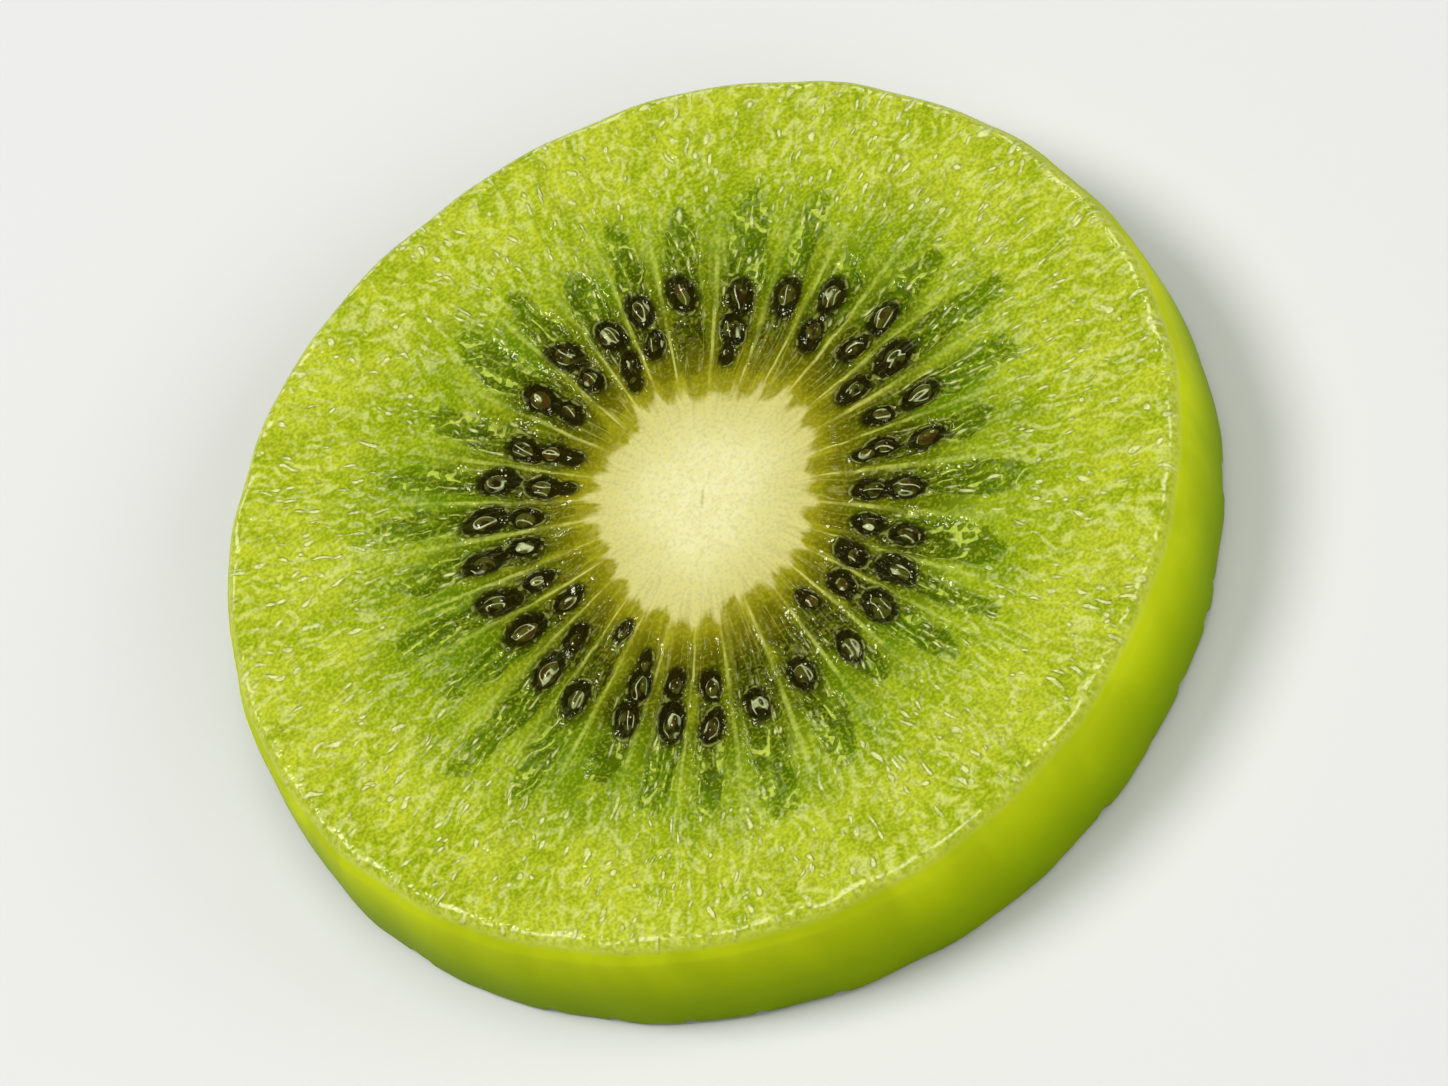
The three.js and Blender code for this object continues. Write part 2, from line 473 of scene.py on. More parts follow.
def zone_colours(m, f, c):
    """The zones from the core outwards, with edges that are frayed softly at 1.5 mm, and in fibres"""
    soft = add(m, RANGE, f.share, 0.26, 0.36, 0.035, 0.09)
    shift = add(m, MATH, add(m, MATH, f.fray, 0.5, **LESS), soft, **TIMES)
    ragged = add(m, RANGE, f.share, 0.26, 0.36, 0.014, 0.07)
    shift = add(m, MATH, add(m, MATH, f.fibre, 0.5, **LESS), ragged, shift, **TIMES_PLUS)
    shift = add(m, MATH, f.drift, 0.018, add(m, MATH, shift, 0.005, **PLUS), **TIMES_PLUS)
    fade = add(m, RANGE, f.share, 0.28, 0.4, 1.0, 0.0)
    wedge = add(m, MATH, add(m, RANGE, f.share, 0.2, 0.27, 0.0, -0.024), fade, **TIMES)
    shift = add(m, MATH, wedge, f.rib, shift, **TIMES_PLUS)
    f.zone = add(m, MATH, f.share, shift, **PLUS)
    stops = (
        (0.0, c.core),
        (0.1, colour("#E7E3AA")),
        (0.18, c.core_outer),
        (0.243, colour("#D0C97C")),
        (0.259, colour("#968F1A")),
        (0.3, c.halo),
        (0.4, c.ring),
        (0.5, colour("#566402")),
        (0.61, c.ring_outer),
        (0.71, colour("#92A80C")),
        (0.8, c.wall),
    )
    return add(m, RAMP, f.zone, stops=stops)


def fibre_streaks(m, f, base):
    """Fibres as darker and paler streaks, and pale tufts of cells in the core"""
    ring = add(m, RANGE, f.share, 0.5, 0.8, 0.55, 0.12)
    ring = add(m, MATH, add(m, RANGE, f.share, 0.26, 0.36), ring, **TIMES)
    streak = add(m, MATH, add(m, RANGE, f.share, 0.14, 0.24, 0.0, 0.14), ring, **MOST)
    streak = add(m, MATH, add(m, RANGE, f.fibre, 0.52, 0.36, **SOFT), streak, **TIMES)
    stops = ((0.0, colour("#464704")), (0.44, colour("#464704")), (0.6, colour("#4A5F02")))
    base = add(m, MIX, {0: streak, 6: base, 7: add(m, RAMP, f.share, stops=stops)}, **RGBA)
    outside = add(m, RANGE, f.share, 0.2, 0.3, 0.0, 0.26)
    streak = add(m, MATH, add(m, RANGE, f.fibre, 0.5, 0.7, **SOFT), outside, **TIMES)
    base = add(m, MIX, {0: streak, 6: base, 7: colour("#C4CC2A")}, **RGBA)
    f.in_core = add(m, RANGE, f.share, 0.22, 0.29, 1.0, 0.0, **SOFT)
    weak = add(m, MATH, f.in_core, 0.28, **TIMES)
    tuft = add(m, MATH, add(m, RANGE, f.cells, 0.42, 0.62, **SOFT), weak, **TIMES)
    return add(m, MIX, {0: tuft, 6: base, 7: colour("#D6D07E")}, **RGBA)


def core_slit(m, f, base):
    """A thin dark slit at the very middle of the core"""
    aside = add(m, VECTOR, f.plane, (0.857, -0.515, 0.0), operation="DOT_PRODUCT")
    along = add(m, VECTOR, f.plane, (0.515, 0.857, 0.0), operation="DOT_PRODUCT")
    slit = add(m, RANGE, add(m, MATH, aside, **SIZE), 0.001, 0.005, 0.4, 0.0, **SOFT)
    ends = add(m, RANGE, add(m, MATH, along, **SIZE), 0.012, 0.028, 1.0, 0.0, **SOFT)
    slit = add(m, MATH, slit, ends, **TIMES)
    return add(m, MIX, {0: slit, 6: base, 7: colour("#A8A250")}, **RGBA)


def rib_rays(m, f, c, base):
    """Ribs that widen outwards into soft pale rays"""
    between = add(m, MATH, add(m, MATH, 1.0, f.pocket, **LESS), 0.6, **TIMES)
    ray = add(m, MATH, f.rib, between, **MOST)
    ray = add(m, MATH, ray, add(m, RANGE, f.share, 0.52, 0.69, **SOFT), **TIMES)
    ray = add(m, MATH, ray, add(m, RANGE, f.share, 0.7, 0.86, 0.75, 0.0, **SOFT), **TIMES)
    return add(m, MIX, {0: ray, 6: base, 7: c.rays}, **RGBA)


def chamber_gel(m, f, c, base):
    """Chambers full of clear gel, black-green round the seeds and greener outwards"""
    stops = (
        (0.0, colour("#7C7606")),
        (0.28, colour("#7C7606")),
        (0.35, colour("#544E02")),
        (0.40, c.gel),
        (0.50, colour("#262C02")),
        (0.59, colour("#344C02")),
        (0.72, c.gel_outer),
    )
    gel = add(m, RAMP, f.zone, stops=stops)
    patchy = add(m, RANGE, f.share, 0.44, 0.58, 0.1, 0.4)
    lit = add(m, MATH, add(m, RANGE, f.fray, 0.46, 0.7, **SOFT), patchy, **TIMES)
    gel = add(m, MIX, {0: lit, 6: gel, 7: colour("#88A414")}, **RGBA)
    full = add(m, MATH, f.pocket, add(m, RANGE, f.zone, 0.66, 0.82, 0.96, 0.55), **TIMES)
    base = add(m, MIX, {0: full, 6: base, 7: gel}, **RGBA)

    # The flesh round the chambers' outer ends is a deeper green in places.
    fade = add(m, RANGE, f.share, 0.66, 0.88, 0.8, 0.0)
    halo = add(m, MATH, add(m, RANGE, f.share, 0.45, 0.58), fade, **TIMES)
    halo = add(m, MATH, halo, add(m, RANGE, f.blotch, -0.3, 0.5, **SOFT), **TIMES)
    base = add(m, MIX, {0: halo, 6: base, 7: colour("#567A04")}, **RGBA)

    # A pale hem along the edge of each chamber's outer half
    hem = add(m, MATH, add(m, MATH, f.pocket, 0.45, **LESS), **SIZE)
    outer_half = add(m, RANGE, f.share, 0.48, 0.62, 0.0, 0.45)
    hem = add(m, MATH, add(m, RANGE, hem, 0.05, 0.3, 1.0, 0.0, **SOFT), outer_half, **TIMES)
    hem = add(m, MATH, hem, add(m, RANGE, f.fray, 0.4, 0.58, 0.2, 1.0, **SOFT), **TIMES)
    return add(m, MIX, {0: hem, 6: base, 7: colour("#B2C640")}, **RGBA)


def rib_threads(m, f, k, c, base):
    """A pale thread along each rib, from 0.12 mm wide at the core to 0.35 mm, and hairs beside it"""
    turn = add(m, MATH, f.y, f.x, operation="ARCTAN2")
    bent = add(m, MATH, f.wander, 0.14, **TIMES)
    count = add(m, MATH, turn, k.chambers / (2 * math.pi), bent, **TIMES_PLUS)
    part = add(m, MATH, add(m, MATH, count, 0.5, **PLUS), operation="FRACT")
    part = add(m, MATH, add(m, MATH, part, 0.5, **LESS), **SIZE)
    spacing = add(m, MATH, f.share, PATTERN_RADIUS * 2 * math.pi / k.chambers, **TIMES)
    gap = add(m, MATH, part, spacing, **TIMES)
    thread = add(m, MATH, gap, add(m, RANGE, f.share, 0.28, 0.7, 0.075, 0.24), operation="DIVIDE")
    thread = add(m, RANGE, thread, 0.25, 1.0, 1.0, 0.0, **SOFT)
    hair = add(m, MATH, add(m, MATH, f.hairs, 0.5, **LESS), **SIZE)
    hair = add(m, RANGE, hair, 0.006, 0.024, 0.35, 0.0, **SOFT)
    thread = add(m, MATH, thread, hair, **MOST)
    thread = add(m, MATH, thread, add(m, RANGE, f.worn, -0.6, 0.3, 0.3, 1.0, **SOFT), **TIMES)
    thread = add(m, MATH, thread, add(m, RANGE, f.share, 0.24, 0.31, **SOFT), **TIMES)
    thread = add(m, MATH, thread, add(m, RANGE, f.zone, 0.55, 0.9, 1.0, 0.0, **SOFT), **TIMES)
    stops = (
        (0.0, c.threads),
        (0.26, c.threads),
        (0.45, colour("#A9B24C")),
        (0.6, colour("#A6B84C")),
        (0.8, colour("#BCCC5C")),
    )
    pale = add(m, RAMP, f.share, stops=stops)
    return add(m, MIX, {0: add(m, MATH, thread, 0.9, **TIMES), 6: base, 7: pale}, **RGBA)


def wall_strokes(m, f, c, base):
    """The outer wall's cells in rough strokes 0.3 mm wide, longer outwards"""
    upper = add(m, RANGE, f.share, 1.0, 1.03, 1.0, 0.0)
    outer = add(m, MATH, add(m, RANGE, f.share, 0.56, 0.76, **SOFT), upper, **TIMES)
    f.outer = add(m, MATH, outer, add(m, RANGE, f.pocket, 0.0, 1.0, 1.0, 0.45), **TIMES)
    hollow = add(m, RANGE, f.stroke, 0.56, 0.4, 0.3, 0.75)
    deep = add(m, MATH, add(m, RANGE, f.shade, -0.4, 0.5, **SOFT), hollow, **TIMES)
    return add(m, MIX, {0: add(m, MATH, deep, f.outer, **TIMES), 6: base, 7: c.wall_shade}, **RGBA)


def gel_sacs(m, f, c, base):
    """Sacs in the gel: nested skins that run outwards, 0.12 mm wide and 0.35 mm apart, broken into beads"""
    f.wet = add(m, MATH, f.pocket, add(m, RANGE, f.share, 0.36, 0.54, 0.15, 0.9, **SOFT), **TIMES)
    skins = add(m, MATH, add(m, MATH, f.nests, 34.0, **TIMES), operation="SINE")
    hollow = add(m, MATH, add(m, RANGE, skins, 0.2, -0.8, 0.0, 0.75, **SOFT), f.wet, **TIMES)
    stops = ((0.0, c.gel), (0.42, c.gel), (0.58, colour("#2C4202")), (0.74, colour("#4A6A02")))
    base = add(m, MIX, {0: hollow, 6: base, 7: add(m, RAMP, f.share, stops=stops)}, **RGBA)
    sacs = add(m, RANGE, skins, 0.45, 0.9, **SOFT)
    sacs = add(m, MATH, sacs, add(m, RANGE, f.cells, 0.44, 0.56, 0.1, 1.0, **SOFT), **TIMES)
    ends = add(m, RANGE, f.share, 0.7, 0.85, 1.0, 0.3)
    f.sacs = add(m, MATH, sacs, add(m, MATH, f.wet, ends, **TIMES), **TIMES)
    stops = ((0.0, colour("#8C8E4C")), (0.42, colour("#8C8E4C")), (0.6, c.sacs))
    pale = add(m, RAMP, f.share, stops=stops)
    return add(m, MIX, {0: add(m, MATH, f.sacs, 0.9, **TIMES), 6: base, 7: pale}, **RGBA)


def bright_cells(m, f, c, base):
    """Beads and crests of the outer wall, the beads partly pale cells and partly painted glints, and a
    painted highlight: a broken line of glints, 0.2 mm wide, along parts of the rim
    """
    # Painted glints: a few bright beads in the wall and in the gel, which also stand up in the relief
    bead = add(m, RANGE, f.dots, 0.18, 0.4, 1.0, 0.0, **SOFT)
    few = add(m, RANGE, add(m, SEPARATE, f.dots.outputs["Color"]), 0.3, 0.75, **SOFT)
    f.beads = add(m, MATH, add(m, MATH, bead, few, **TIMES), add(m, MATH, f.outer, f.wet, **MOST), **TIMES)
    # Painted highlight: a broken pale line along the upper edge that stands for a row of glints, with no
    # relief under it
    rim = add(m, MATH, f.drift, 0.002, f.share, **TIMES_PLUS)
    rim = add(m, MATH, add(m, MATH, rim, 1.0025, **LESS), **SIZE)
    rim = add(m, RANGE, rim, 0.0006, 0.002, 1.0, 0.0, **SOFT)
    glint_breaks = add(m, MATH, f.worn, 0.3, f.cells, **TIMES_PLUS)
    rim = add(m, MATH, rim, add(m, RANGE, glint_breaks, 0.46, 0.58, **SOFT), **TIMES)
    crest = add(m, MATH, add(m, RANGE, f.stroke, 0.52, 0.7, 0.0, 0.34, **SOFT), f.outer, **TIMES)
    pale = add(m, MATH, add(m, MATH, f.beads, rim, **MOST), 0.85, **TIMES)
    return add(m, MIX, {0: add(m, MATH, pale, crest, **MOST), 6: base, 7: c.wall_cells_and_glints}, **RGBA)


def specks(m, f, base):
    """Deeper mottling, and single cells that are paler or darker than those round them"""
    mottle = add(m, RANGE, f.share, 0.7, 0.8, 0.3, 0.2)
    mottle = add(m, MATH, add(m, RANGE, f.cells, 0.52, 0.36, **SOFT), mottle, **TIMES)
    mottle = add(m, MATH, mottle, add(m, RANGE, f.share, 0.26, 0.4), **TIMES)
    base = add(m, MIX, {0: mottle, 6: base, 7: colour("#566E04")}, **RGBA)
    strength = add(m, RANGE, f.share, 0.3, 0.75, 0.12, 0.28)
    for low, high, shade in ((0.48, 0.7, "#D8DE3A"), (0.52, 0.3, "#6E7A04")):
        speck = add(m, MATH, add(m, RANGE, f.grain, low, high), strength, **TIMES)
        base = add(m, MIX, {0: speck, 6: base, 7: colour(shade)}, **RGBA)
    return base


def seed_edges(m, f, c, base):
    """Flesh beside a seed, darkened partly as a stain from the seed and partly as painted shade in the gap
    round it, and the thin skin that stands up round each seed, painted pale, partly as a painted highlight
    """
    # Partly painted shade: the flesh darkens towards each seed's outline
    near = add(m, RANGE, f.seed_rim, 0.1, 1.0, 0.0, 0.92, **SOFT)
    base = add(m, MIX, {0: near, 6: base, 7: c.seed_stain_and_shade}, **RGBA)
    # Partly painted highlight: a broken pale line round each seed, where the gel's edge rises
    skin = add(m, MATH, add(m, MATH, f.seed_rim, 0.7, **LESS), **SIZE)
    skin = add(m, RANGE, skin, 0.06, 0.24, 1.0, 0.0, **SOFT)
    f.skin = add(m, MATH, skin, add(m, RANGE, f.cells, 0.48, 0.58, **SOFT), **TIMES)
    return add(m, MIX, {0: add(m, MATH, f.skin, 0.6, **TIMES), 6: base, 7: colour("#98A048")}, **RGBA)


def peeled_side(m, f, c, base):
    """The peeled side, more yellow than the cut face; paler at the top and darker towards its foot, partly
    its own colour and partly painted light and shade
    """
    # Painted light and shade: beyond the side's own colour, these stops grow paler towards the top and darker
    # towards the foot
    stops = (
        (0.0, colour("#7A9604")),
        (0.15, colour("#829E04")),
        (0.35, c.side_foot_and_shade),
        (0.65, c.side),
        (0.9, colour("#D0DE18")),
        (0.975, colour("#D6E05C")),
    )
    side = add(m, RAMP, f.level, stops=stops)
    smear = add(m, RANGE, f.smear, -0.3, 0.5, 0.0, 0.3)
    side = add(m, MIX, {0: smear, 6: side, 7: colour("#8CA204")}, **RGBA)
    return add(m, MIX, {0: add(m, RANGE, f.share, 1.0, 1.03, **SOFT), 6: base, 7: side}, **RGBA)


def flesh_relief(m, f):
    """Relief finer than the mesh: beads, sacs, the skins round the seeds, and grain"""
    rise = add(m, MATH, f.beads, 1.3, add(m, MATH, f.sacs, f.skin, **PLUS), **TIMES_PLUS)
    rough = add(m, RANGE, f.share, 1.0, 1.03, 1.0, 0.3)
    rough = add(m, MATH, add(m, RANGE, f.share, 0.3, 0.45, 0.1, 0.35), rough, **TIMES)
    rise = add(m, MATH, f.grain, rough, rise, **TIMES_PLUS)
    return add(m, "ShaderNodeBump", {"Strength": 1.0, "Distance": 0.09 * MM, "Height": rise})


def flesh_material(k, c):
    """Ripe kiwi flesh, cut with a sharp knife and peeled: cells full of juice, so that light goes about a
    millimetre into its core and its side, and its wet surface glints wherever a cell wall stands up. More
    glints, and a line of them along the rim, are painted into its colour."""
    m = new_material("ripe_kiwi_flesh")
    f = flesh_fields(m)
    base = zone_colours(m, f, c)
    base = fibre_streaks(m, f, base)
    base = core_slit(m, f, base)
    base = rib_rays(m, f, c, base)
    base = chamber_gel(m, f, c, base)
    base = rib_threads(m, f, k, c, base)
    base = wall_strokes(m, f, c, base)
    base = gel_sacs(m, f, c, base)
    base = bright_cells(m, f, c, base)
    base = specks(m, f, base)
    base = seed_edges(m, f, c, base)
    base = peeled_side(m, f, c, base)
    bump = flesh_relief(m, f)
    clear = add(m, MATH, f.in_core, add(m, RANGE, f.share, 0.98, 1.03), **MOST)
    finish = {
        "Base Color": base,
        "Roughness": 0.5,
        "IOR": 1.37,
        "Specular IOR Level": 0.02,
        "Subsurface Weight": add(m, MATH, clear, 0.3, **TIMES),
        "Subsurface Radius": (1.3, 1.6, 0.5),
        "Subsurface Scale": 0.8 * MM,
        "Coat Weight": add(m, RANGE, f.share, 0.99, 1.03, 1.0, 0.03, **SOFT),
        "Coat Roughness": 0.08,
        "Coat IOR": 1.4,
        "Normal": bump,
        "Coat Normal": bump,
    }
    add(m, "ShaderNodeOutputMaterial", add(m, "ShaderNodeBsdfPrincipled", finish))
    return m


def seed_material(c):
    """Kiwi seed coat: hard, thin and nearly black, with a film of juice that gives it sharp highlights."""
    m = new_material("wet_kiwi_seed_coat")
    tone = add(m, ATTRIBUTE, attribute_name="tone").outputs["Fac"]
    along = add(m, ATTRIBUTE, attribute_name="along").outputs["Vector"]
    base = add(m, MIX, {0: tone, 6: c.coat, 7: c.coat_brown}, **RGBA)

    # Fine ribs 0.22 mm apart that run along the seed, worn brown on their crests
    ribs = add(m, NOISE, add(m, VECTOR, along, (0.3, 1.0, 1.0), **TIMES), {"Scale": 1 / 0.22, "Detail": 1.0})
    worn = add(m, RANGE, ribs, 0.5, 0.7, 0.0, 0.4)
    base = add(m, MIX, {0: worn, 6: base, 7: colour("#563812")}, **RGBA)

    # Films of gel over a seed: green patches 0.5 mm wide, and pale creases 0.15 mm wide that run along it,
    # partly painted highlights
    gel = add(m, NOISE, along, {"Scale": 1 / 0.5, "Detail": 2.0})
    gel = add(m, RANGE, gel, 0.42, 0.6, 0.0, 0.75, **SOFT)
    base = add(m, MIX, {0: gel, 6: base, 7: colour("#545A16")}, **RGBA)
    film = add(m, NOISE, add(m, VECTOR, along, (0.12, 1.0, 1.0), **TIMES), {"Scale": 1 / 0.45, "Detail": 0.0})
    film = add(m, MATH, add(m, MATH, film, 0.5, **LESS), **SIZE)
    film = add(m, RANGE, film, 0.012, 0.055, 0.95, 0.0, **SOFT)
    film = add(m, MATH, film, add(m, RANGE, gel, 0.2, 0.6, 1.0, 0.65), **TIMES)
    # Painted highlights: the pale creases stand in for streaks of reflected light along the seed
    base = add(m, MIX, {0: film, 6: base, 7: colour("#C2CC94")}, **RGBA)
    bump = add(m, "ShaderNodeBump", {"Strength": 0.8, "Distance": 0.08 * MM, "Height": ribs})
    finish = {
        "Base Color": base,
        "Roughness": 0.35,
        "IOR": 1.5,
        "Specular IOR Level": 0.1,
        "Coat Weight": 1.0,
        "Coat Roughness": 0.07,
        "Normal": bump,
        "Coat Normal": bump,
    }
    add(m, "ShaderNodeOutputMaterial", add(m, "ShaderNodeBsdfPrincipled", finish))
    return m


def floor_material(tone):
    """Painted board: matt, with a roller's faint stipple, one dot in 1.4 mm. Further out than the lamps
    reach, a glow of its own stands for a wide studio's lights, so that low views see an evenly lit board."""
    m = new_material("matt_painted_board")
    place = add(m, "ShaderNodeTexCoord").outputs["Object"]
    stipple = add(m, NOISE, place, {"Scale": 700.0, "Detail": 1.0})
    bump = add(m, "ShaderNodeBump", {"Strength": 0.05, "Distance": 0.2 * MM, "Height": stipple})
    glow = add(m, RANGE, add(m, VECTOR, place, operation="LENGTH"), 0.2, 1.35, 0.0, 0.75, **SOFT)
    finish = {
        "Base Color": tone,
        "Roughness": 0.6,
        "Normal": bump,
        "Emission Color": tone,
        "Emission Strength": glow,
    }
    add(m, "ShaderNodeOutputMaterial", add(m, "ShaderNodeBsdfPrincipled", finish))
    m.cycles.emission_sampling = "NONE"
    return m


# Flesh


def flesh_rings(k):
    """The skin's rings, from the upper face's middle out, down the side and in to the lower face's middle.

    Each is its share, edge radius, height, face, level and number of points. The face is 1 for the upper cut
    face, 0 for the side and -1 for the lower cut face."""
    top = side_radius(k, k.thickness) - k.shoulder
    foot = side_radius(k, 0) - k.foot
    full = 6 * k.face_rings
    rings = []
    for i in range(1, k.face_rings + 1):
        rings.append((i / k.face_rings, top, k.thickness, 1, 1.0, 6 * i))
    for bend in (0.2, 0.4, 0.6, 0.8, 1.0):
        lean = bend * math.pi / 2
        height = k.thickness - k.shoulder * (1 - math.cos(lean))
        rings.append((1, top + k.shoulder * math.sin(lean), height, 0, height / k.thickness, full))
    for height in np.linspace(k.thickness - k.shoulder, k.foot, 20)[1:]:
        rings.append((1, side_radius(k, height), height, 0, height / k.thickness, full))
    for bend in (0.5, 1.0):
        lean = bend * math.pi / 2
        rings.append((1, foot + k.foot * math.cos(lean), k.foot * (1 - math.sin(lean)), 0, 0.0, full))
    for i in range(k.under_rings - 1, 0, -1):
        rings.append((i / k.under_rings, foot, 0, -1, 0.0, 6 * i))
    return rings


def face_bumps(k, points, share, turn, pocket, near):
    """How far the points of a cut face stand above its plane: the solid's relief, uneven cells, and flesh
    that climbs up to the seeds."""
    grain = k.grain * (noise(points, 0.55, 1) + 0.7 * noise(points, 0.28, 2))
    inner = smooth(0.42, 0.34, share)
    bumps = relief(k, share, turn, pocket)
    bumps = bumps + grain * (1 - 0.7 * inner) + 0.05 * noise(points, 0.7, 3) * pocket * (1 - inner)
    return bumps + (near * (0.14 + 0.2 * noise(points, 0.7, 8)) + 0.05 * near * (1 - near) * 4)


def side_bumps(points, share, height, face):
    """How far the points of the peeled side stand out: its shallow flats, and small nicks along its foot."""
    swell = 0.07 * noise(points * (1, 1, 0.35), 3.5, 5) + 0.02 * noise(points, 0.9, 6)
    nicks = -0.16 * smooth(0.35, 0.8, noise(points * (1, 1, 0.6), 0.8, 7)) * (1 - smooth(0.1, 0.8, height))
    return (swell + nicks) * smooth(0.9, 1.0, share) * np.where(face >= 0, 1, 0.5)


def flesh_values(k, points, share, turn, height, face, level, pocket, near, wobble):
    """The mesh's named vectors: where each point lies in the pattern, and slow changes from -1 to 1."""

    def around(radius, stretch):
        out = share * PATTERN_RADIUS / stretch
        return np.column_stack([radius * np.cos(turn), radius * np.sin(turn), out])

    reach = share + np.where(face == 0, np.clip((k.thickness - height) / k.radius, 0, 0.05), 0)
    place = (turn / (2 * np.pi) * k.chambers + 0.5) % 1 - 0.5
    gap = np.abs(place) * 2 * np.pi * share * PATTERN_RADIUS / k.chambers
    rib = 1 - smooth(0.1, 0.45, gap + 0.6 * wobble)
    drifts = (noise(points, 1.5, 21, 2), noise(around(11, 6), 2.5, 22, 2), noise(points, 1.2, 23, 2))
    blots = (
        noise(around(14, 2.5), 1.4, 24, 2),
        noise(around(16, 2.6), 0.9, 25, 2),
        noise(points * (1, 1, 0.3), 2.5, 26, 3),
    )
    return {
        "plan": np.column_stack([reach * np.cos(turn), reach * np.sin(turn), level]),
        "zones": np.column_stack([pocket, near, rib]),
        "drifts": np.column_stack(drifts),
        "blots": np.column_stack(blots),
        "bend": 0.5 * np.column_stack([noise(points, 0.9, salt) for salt in (31, 32, 33)]),
    }


class KIWI_OT_flesh(bpy.types.Operator):
    """Makes the flesh: core, chambers, outer wall and peeled side, as one skin"""

    bl_idname = "kiwi.flesh"
    bl_label = "Flesh"

    def execute(self, context):
        k = sizes_of(context.scene.kiwi_sizes)
        rings = flesh_rings(k)
        counts = [ring[-1] for ring in rings]
        share, edge, height, face, level = (np.repeat([ring[i] for ring in rings], counts) for i in range(5))
        turn = np.concatenate([np.arange(count) / count * 2 * math.pi for count in counts])
        plan = plan_points(k, share, turn, edge)
        points = np.column_stack([plan, height])
        near = np.zeros(len(points))
        for side in (1, -1):
            near[face == side] = seed_nearness(k, points[face == side], side)
        wobble = 0.3 * noise(points, 1.1, 11) + 0.15 * noise(points, 0.5, 12)
        pocket = pocket_shape(k, share, turn, wobble)

        # The lower face has no bumps below its plane, so that the slice lies flat.
        bumps = face_bumps(k, points, share, turn, pocket, near)
        points[:, 2] += np.where(face > 0, bumps, 0) - np.where(face < 0, np.minimum(bumps, 0), 0)
        outward = plan / np.maximum(np.hypot(plan[:, 0], plan[:, 1])[:, None], 1e-6)
        points[:, :2] += outward * side_bumps(points, share, height, face)[:, None]
        values = flesh_values(k, points, share, turn, height, face, level, pocket, near, wobble)

        # The two middles close the skin.
        points = np.vstack([points, [[*CORE_SHIFT, k.thickness + k.core_dome - 0.03], [*CORE_SHIFT, 0]]])
        values = {key: np.vstack([value, np.zeros((2, 3))]) for key, value in values.items()}
        values["plan"][-2] = (0, 0, 1)
        starts = np.concatenate([[0], np.cumsum(counts)]).tolist()
        top_middle, foot_middle, last = starts[-1], starts[-1] + 1, starts[-2]
        faces = []
        for i in range(6):
            faces.append((top_middle, i, (i + 1) % 6))
            faces.append((foot_middle, last + (i + 1) % 6, last + i))
        for first, second, here, there in zip(starts, starts[1:], counts, counts[1:]):
            faces += ring_faces(first, here, second, there)
        points[:, :2] -= middle_of(k)
        piece = new_mesh("kiwi_flesh", points, faces, values, flesh_material(k, context.scene.kiwi_colours))
        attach(piece, "root")
        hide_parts("kiwi_slice")
        return {"FINISHED"}


# Seeds

SEED_STEPS = 10  # facets from a seed's foot to its head
SEED_SIDES = 16  # facets round a seed


def seed_form(longest, width):
    """Points of a seed that lies along x, more pointed at its foot than at its head: foot, rings, head."""
    points = [(-longest / 2, 0, 0)]
    for step in range(1, SEED_STEPS):
        t = step / SEED_STEPS
        radius = width / 2 * math.sin(math.pi * t**1.25) ** 0.75
        for i in range(SEED_SIDES):
            a = i / SEED_SIDES * 2 * math.pi
            points.append((longest * (t - 0.5), radius * math.cos(a), 0.85 * radius * math.sin(a)))
    points.append((longest / 2, 0, 0))
    return points


def seed_faces(first):
    """Faces of that form, whose points start at this number."""
    last = first + 1 + (SEED_STEPS - 2) * SEED_SIDES
    end = last + SEED_SIDES
    faces = []
    for i in range(SEED_SIDES):
        j = (i + 1) % SEED_SIDES
        faces.append((first, first + 1 + j, first + 1 + i))
        for row in range(first + 1, last, SEED_SIDES):
            up = row + SEED_SIDES
            faces.append((row + i, row + j, up + j, up + i))
        faces.append((end, last + i, last + j))
    return faces


class KIWI_OT_seeds(bpy.types.Operator):
    """Makes the seeds of both cut faces, as one mesh"""

    bl_idname = "kiwi.seeds"
    bl_label = "Seeds"

    def execute(self, context):
        k = sizes_of(context.scene.kiwi_sizes)
        shift = Vector((*middle_of(k), 0))
        random = random_from(99)
        points, faces, tone, inside = [], [], [], []
        for _, middle, heading, grown, roll in seed_places(k):
            first = len(points)
            form = seed_form(k.seed_length * grown, k.seed_width * grown)
            turned = Matrix.Rotation(heading, 3, "Z") @ Matrix.Rotation(roll * 0.3, 3, "X")
            at = Vector(middle) - shift
            points += [tuple(turned @ Vector(p) + at) for p in form]
            inside += [(x + 7 * first, y, z) for x, y, z in form]  # far apart, so no two seeds look alike
            tone += [random(0, 1) ** 2] * len(form)
            faces += seed_faces(first)
        values = {"tone": tone, "along": inside}
        piece = new_mesh("kiwi_seeds", points, faces, values, seed_material(context.scene.kiwi_colours))
        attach(piece, "root")
        return {"FINISHED"}


# Stage

FLOOR_HALF = 3.0  # metres
AIM = Vector((0.0, 0.0, 0.0035))  # metres, in the slice's middle

LAMPS = (  # name, azimuth and elevation in degrees, distance and width in metres, watts, seen in gloss
    ("key_light", 148, 58, 0.9, 0.42, 5.3, False),
    ("top_light", 30, 82, 0.9, 0.5, 2.0, False),
    ("front_light", 285, 38, 1.0, 0.6, 2.2, False),
    ("side_light", 335, 30, 1.0, 0.6, 2.2, False),
    ("glint_light_left", 142, 55, 0.9, 0.16, 1.8, True),
    ("glint_light_right", 50, 42, 0.9, 0.12, 0.8, True),
)


def link(name, data):
    """A new object in the scene."""
    piece = bpy.data.objects.new(name, data)
    bpy.context.scene.collection.objects.link(piece)
    return piece


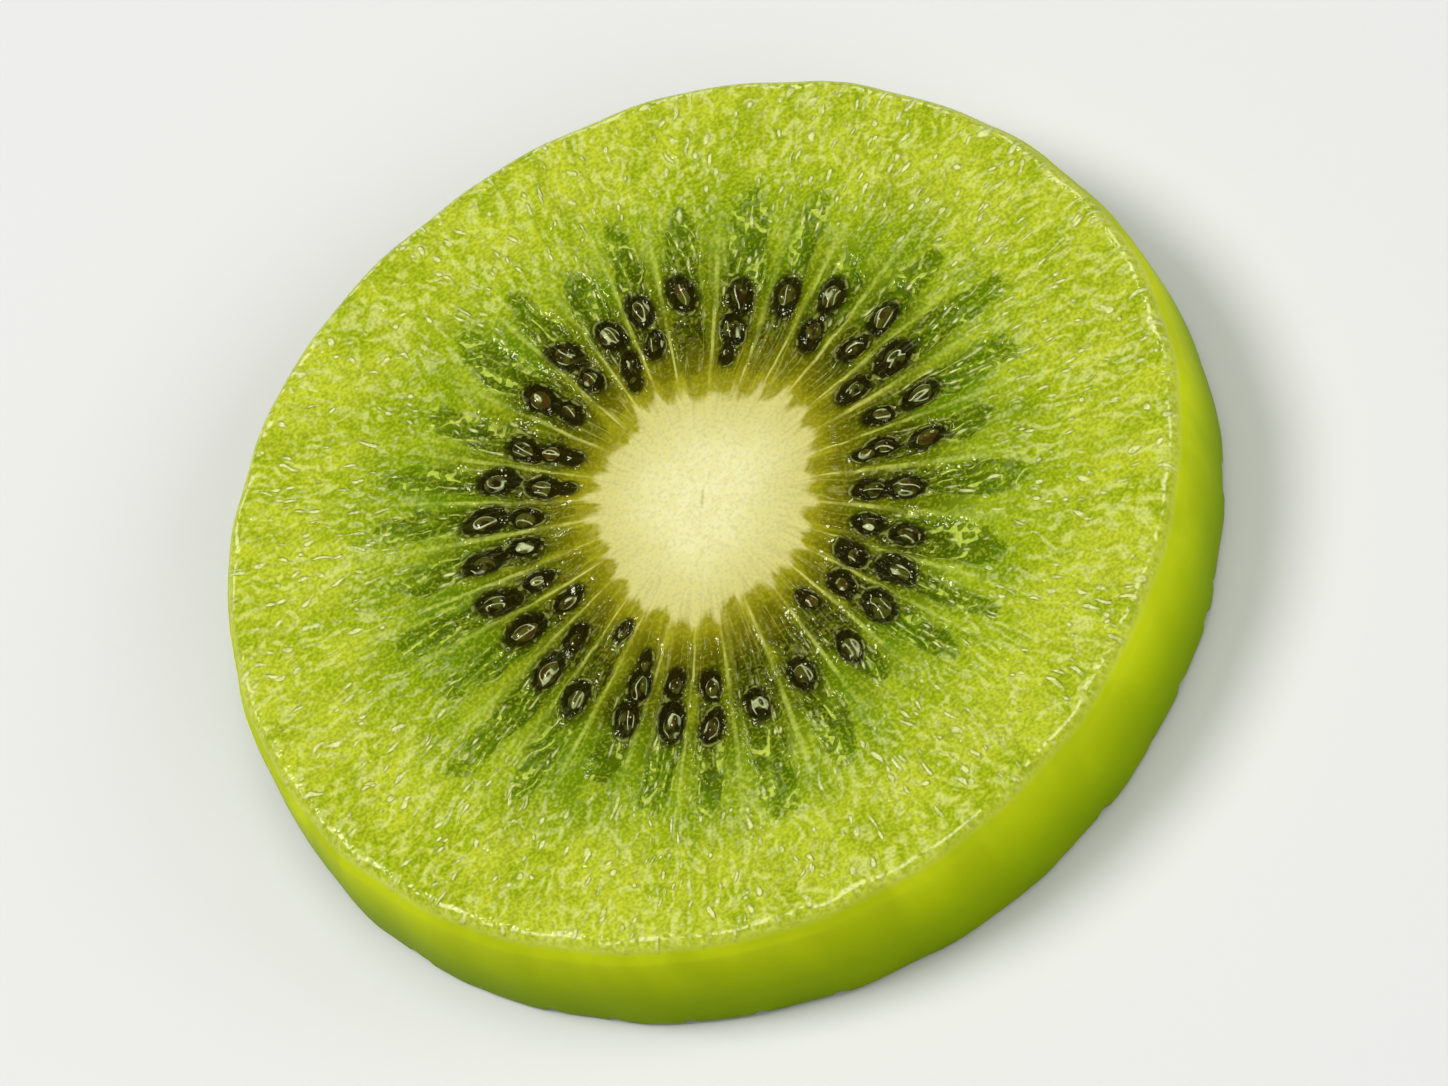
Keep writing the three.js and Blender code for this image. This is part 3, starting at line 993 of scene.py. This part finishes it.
def make_floor(tone):
    mesh = bpy.data.meshes.new("floor")
    corners = [(FLOOR_HALF * x, FLOOR_HALF * y, 0) for x, y in ((-1, -1), (1, -1), (1, 1), (-1, 1))]
    mesh.from_pydata(corners, [], [(0, 1, 2, 3)])
    mesh.materials.append(floor_material(tone))
    link("floor", mesh)


def make_camera(distance, elevation, roll):
    camera = link("camera", bpy.data.cameras.new("camera"))
    camera.location = AIM + distance * Vector((0, -math.cos(elevation), math.sin(elevation)))
    look = (AIM - camera.location).to_track_quat("-Z", "Y").to_matrix()
    camera.rotation_euler = (look @ Matrix.Rotation(roll, 3, "Z")).to_euler()
    camera.data.lens = 345  # mm, so that the picture is 73 mm wide at the slice
    camera.data.sensor_width = 36
    camera.data.clip_start = 0.01
    bpy.context.scene.camera = camera


def make_lamp(name, azimuth, elevation, distance, width, watts, glossy):
    """A round lamp. The broad ones light the slice without sheen, and the small ones only make glints."""
    data = bpy.data.lights.new(name, "AREA")
    data.shape = "DISK"
    data.size = width
    data.energy = watts
    data.color = (1.0, 1.0, 0.75) if glossy else (1.0, 1.0, 1.0)
    lamp = link(name, data)
    a, e = math.radians(azimuth), math.radians(elevation)
    place = Vector((math.cos(a) * math.cos(e), math.sin(a) * math.cos(e), math.sin(e)))
    lamp.location = AIM + distance * place
    lamp.rotation_euler = (-place).to_track_quat("-Z", "Y").to_euler()
    lamp.visible_glossy = glossy
    lamp.visible_diffuse = not glossy


def make_world():
    """A pale room that lights the slice weakly, and looks as bright as the floor to the camera."""
    world = bpy.data.worlds.new("pale_room")
    world.use_nodes = True
    background = world.node_tree.nodes["Background"]
    background.inputs["Color"].default_value = (1, 1, 1, 1)
    seen = add(world, "ShaderNodeLightPath").outputs["Is Camera Ray"]
    strength = add(world, RANGE, seen, 0.0, 1.0, 0.16, 0.68)
    world.node_tree.links.new(strength.outputs["Result"], background.inputs["Strength"])
    world.cycles_visibility.glossy = False
    world.cycles.sampling_method = "NONE"
    bpy.context.scene.world = world


class KIWI_OT_stage(bpy.types.Operator):
    """Makes the floor, the lights and the camera"""

    bl_idname = "kiwi.stage"
    bl_label = "Stage"

    def execute(self, context):
        settings = context.scene.kiwi_stage
        make_floor(settings.floor)
        make_camera(settings.camera_distance, settings.camera_elevation, settings.camera_roll)
        for name, azimuth, elevation, distance, width, watts, glossy in LAMPS:
            make_lamp(name, azimuth, elevation, distance, width, watts * settings.lamps, glossy)
        make_world()
        context.scene.view_settings.view_transform = "Standard"
        return {"FINISHED"}


# Panel and register


class KIWI_PT_slice(bpy.types.Panel):
    """Lists the sizes, the colours and the steps that make the slice"""

    bl_idname = "KIWI_PT_slice"
    bl_label = "Kiwi slice"
    bl_space_type = "VIEW_3D"
    bl_region_type = "UI"
    bl_category = "Kiwi slice"

    def draw(self, context):
        for name in GROUPS:
            group = getattr(context.scene, name)
            for key in group.bl_rna.properties.keys():
                if key not in {"rna_type", "name"}:
                    self.layout.prop(group, key)
        for operator in OPERATORS:
            self.layout.operator(operator.bl_idname)


GROUPS = {"kiwi_sizes": SliceSettings, "kiwi_colours": ColourSettings, "kiwi_stage": StageSettings}
OPERATORS = (KIWI_OT_flesh, KIWI_OT_seeds, KIWI_OT_stage)
CLASSES = (*GROUPS.values(), *OPERATORS, KIWI_PT_slice)


def register():
    for cls in CLASSES:
        bpy.utils.register_class(cls)
    for name, group in GROUPS.items():
        setattr(bpy.types.Scene, name, PointerProperty(type=group))


def unregister():
    for name in GROUPS:
        delattr(bpy.types.Scene, name)
    for cls in reversed(CLASSES):
        bpy.utils.unregister_class(cls)


def main():
    register()
    bpy.ops.kiwi.flesh()
    bpy.ops.kiwi.seeds()
    bpy.ops.kiwi.stage()


if __name__ == "__main__":
    main()
